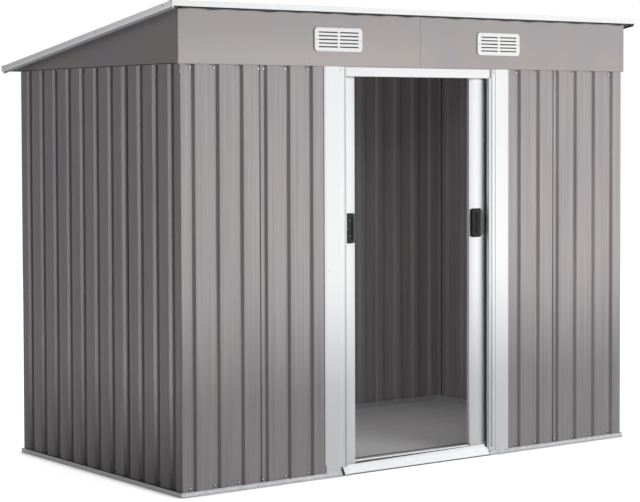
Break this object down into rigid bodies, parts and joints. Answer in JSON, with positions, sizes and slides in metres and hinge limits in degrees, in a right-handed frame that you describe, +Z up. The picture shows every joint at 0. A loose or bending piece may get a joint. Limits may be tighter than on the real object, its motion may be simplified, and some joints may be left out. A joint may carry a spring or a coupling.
{
  "type": "metal storage shed",
  "caption": "Lean-to metal garden shed with ribbed sheet walls, a sloping roof, louvred vents and two sliding doors.",
  "frame": {"origin": "middle of the roof's outline, on the ground", "axes": "+X to the right along the front, +Y to the back, +Z up"},
  "size_m": [2.17, 1.223, 1.6676],
  "materials": {
    "sheet_grey": "satin grey paint",
    "trim_white": "satin white paint",
    "galvanised": "dull galvanised",
    "vent_white": "matte",
    "handle_black": "satin",
    "nylon": "matte",
    "floor_board": "matte grey floor paint"
  },
  "bodies": {
    "shed": {"base_rail_front": "galvanised", "base_rail_rear": "galvanised", "base_rail_left": "galvanised", "base_rail_right": "galvanised", "floor_panel": "floor_board", "front_wall_left": "sheet_grey", "front_wall_right": "sheet_grey", "left_wall": "sheet_grey", "right_wall": "sheet_grey", "rear_wall": "sheet_grey", "front_corner_posts": "sheet_grey", "rear_corner_posts": "sheet_grey", "top_rail_front": "galvanised", "top_rail_rear": "galvanised", "top_rail_left": "galvanised", "top_rail_right": "galvanised", "left_jamb": "trim_white", "right_jamb": "trim_white", "door_header": "trim_white", "fascia_left": "sheet_grey", "fascia_right": "sheet_grey", "vent_left": "vent_white", "vent_right": "vent_white", "left_gable": "sheet_grey", "right_gable": "sheet_grey", "roof_beams": "galvanised", "roof_panel_left": "sheet_grey", "roof_panel_right": "sheet_grey", "roof_trim_front": "trim_white", "roof_trim_rear": "trim_white", "roof_trim_left": "trim_white", "roof_trim_right": "trim_white", "door_track_top": "galvanised", "door_track_bottom": "galvanised", "sill_ramp": "trim_white"},
    "left_door": {"left_door_panel": "sheet_grey", "left_door_stile": "trim_white", "left_door_frame": "galvanised", "left_door_runners": "nylon", "left_door_handle": "handle_black"},
    "right_door": {"right_door_panel": "sheet_grey", "right_door_stile": "trim_white", "right_door_frame": "galvanised", "right_door_runners": "nylon", "right_door_handle": "handle_black"}
  },
  "joints": [
    {"name": "left_door_slide", "type": "slide", "parent": "shed", "child": "left_door", "axis": [1, 0, 0], "range_m": [-0.011, 0.2735]},
    {"name": "right_door_slide", "type": "slide", "parent": "shed", "child": "right_door", "axis": [-1, 0, 0], "range_m": [-0.0195, 0.265]}
  ]
}
